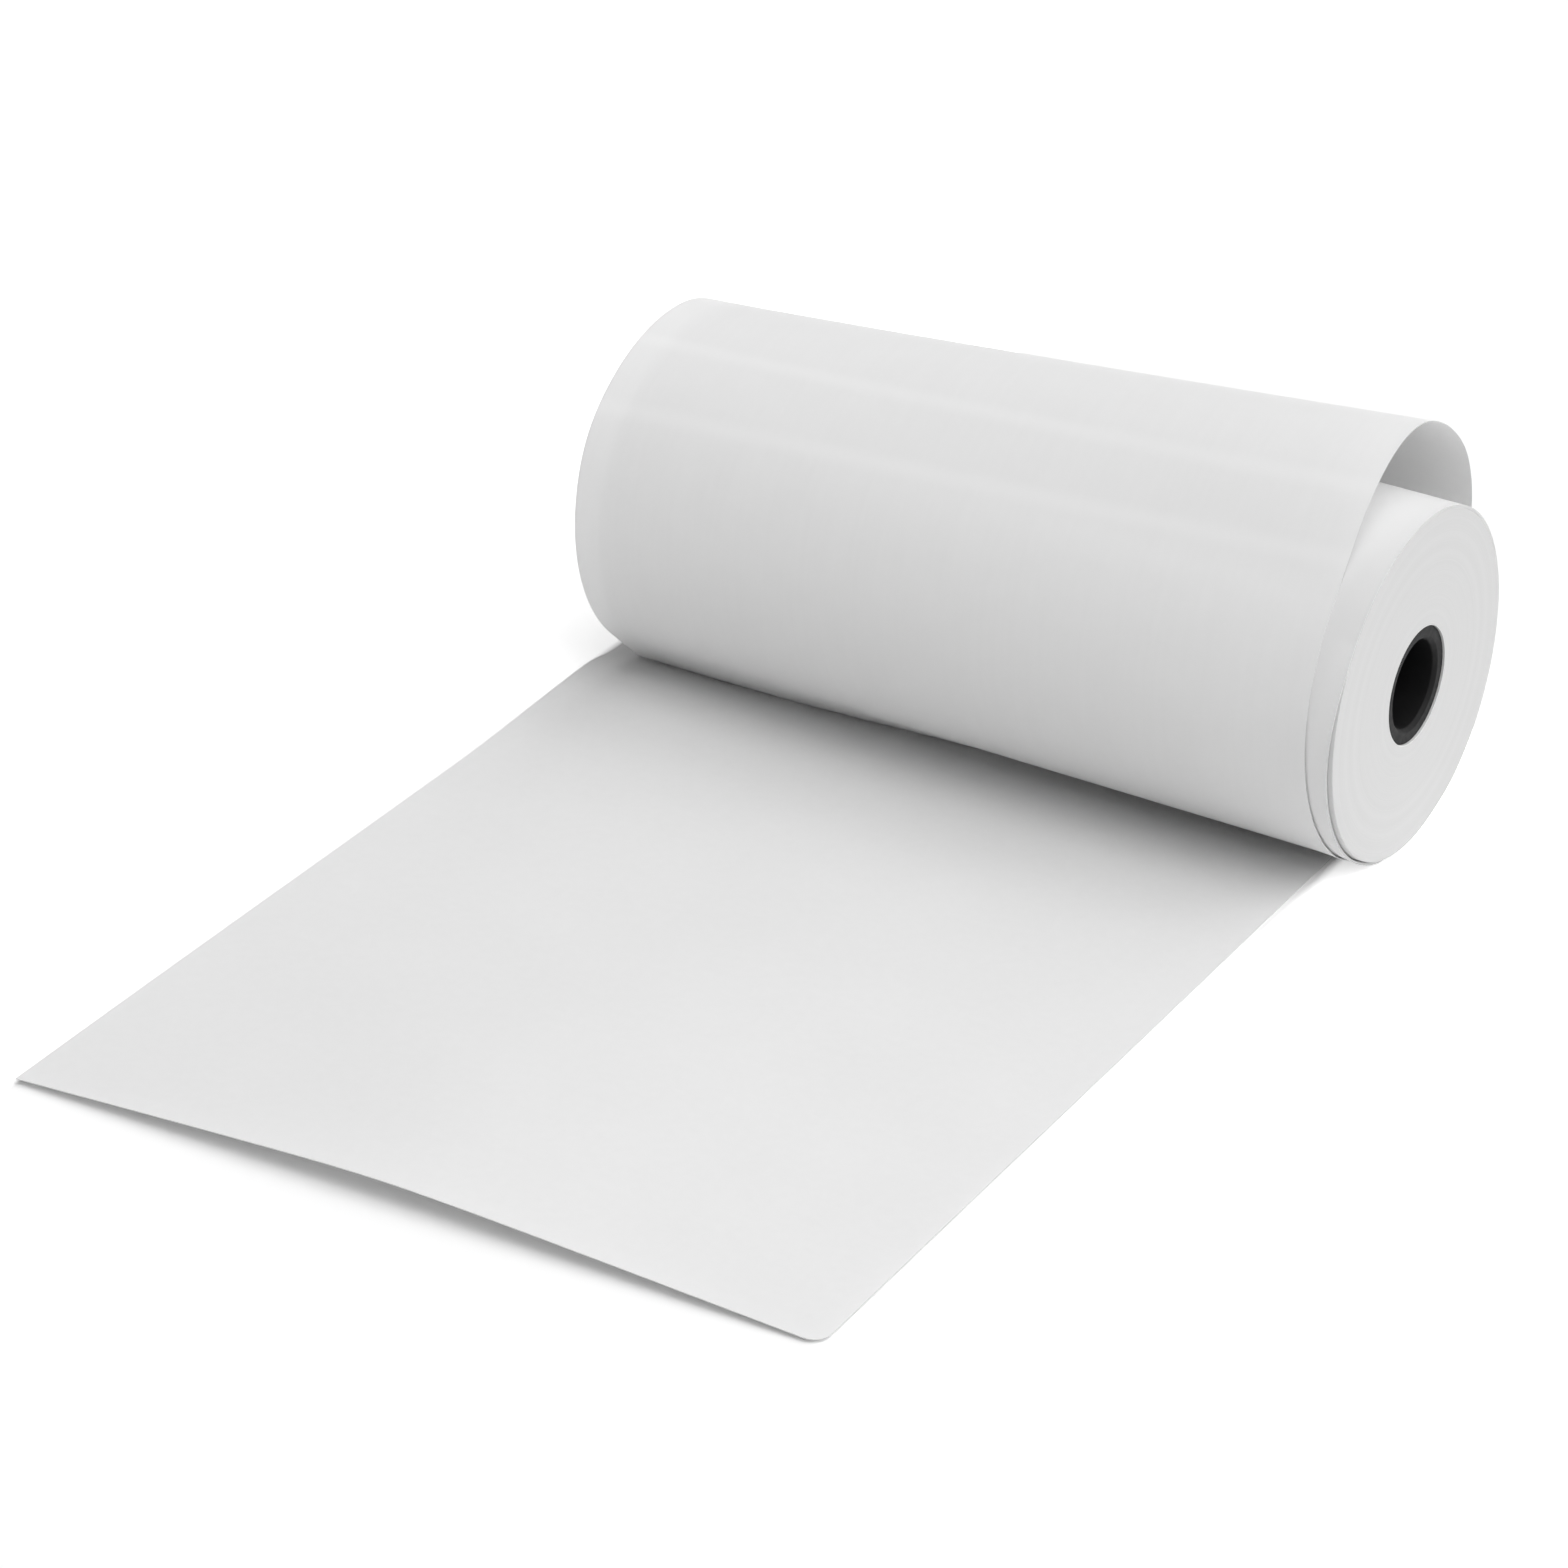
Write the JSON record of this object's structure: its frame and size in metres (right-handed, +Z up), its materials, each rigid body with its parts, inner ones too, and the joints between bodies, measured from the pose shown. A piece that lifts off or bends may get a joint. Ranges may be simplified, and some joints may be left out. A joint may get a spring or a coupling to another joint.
{
  "type": "thermal paper roll",
  "caption": "Roll of plain white thermal paper on a hollow black plastic core, with its outermost turn slack at one end and a length of sheet pulled out flat.",
  "frame": {"origin": "middle of the core's bore, on its axis, halfway along the roll", "axes": "+X along the bore towards the end where the outermost turn is slack, +Z up from the table, and the sheet is pulled out towards -Y"},
  "size_m": [0.1175, 0.177, 0.0564],
  "materials": {
    "paper": "smooth coated thermal paper, a soft low sheen",
    "core": "moulded black polystyrene, slightly satin"
  },
  "bodies": {
    "root": {"paper": "paper", "core": "core"}
  },
  "joints": []
}
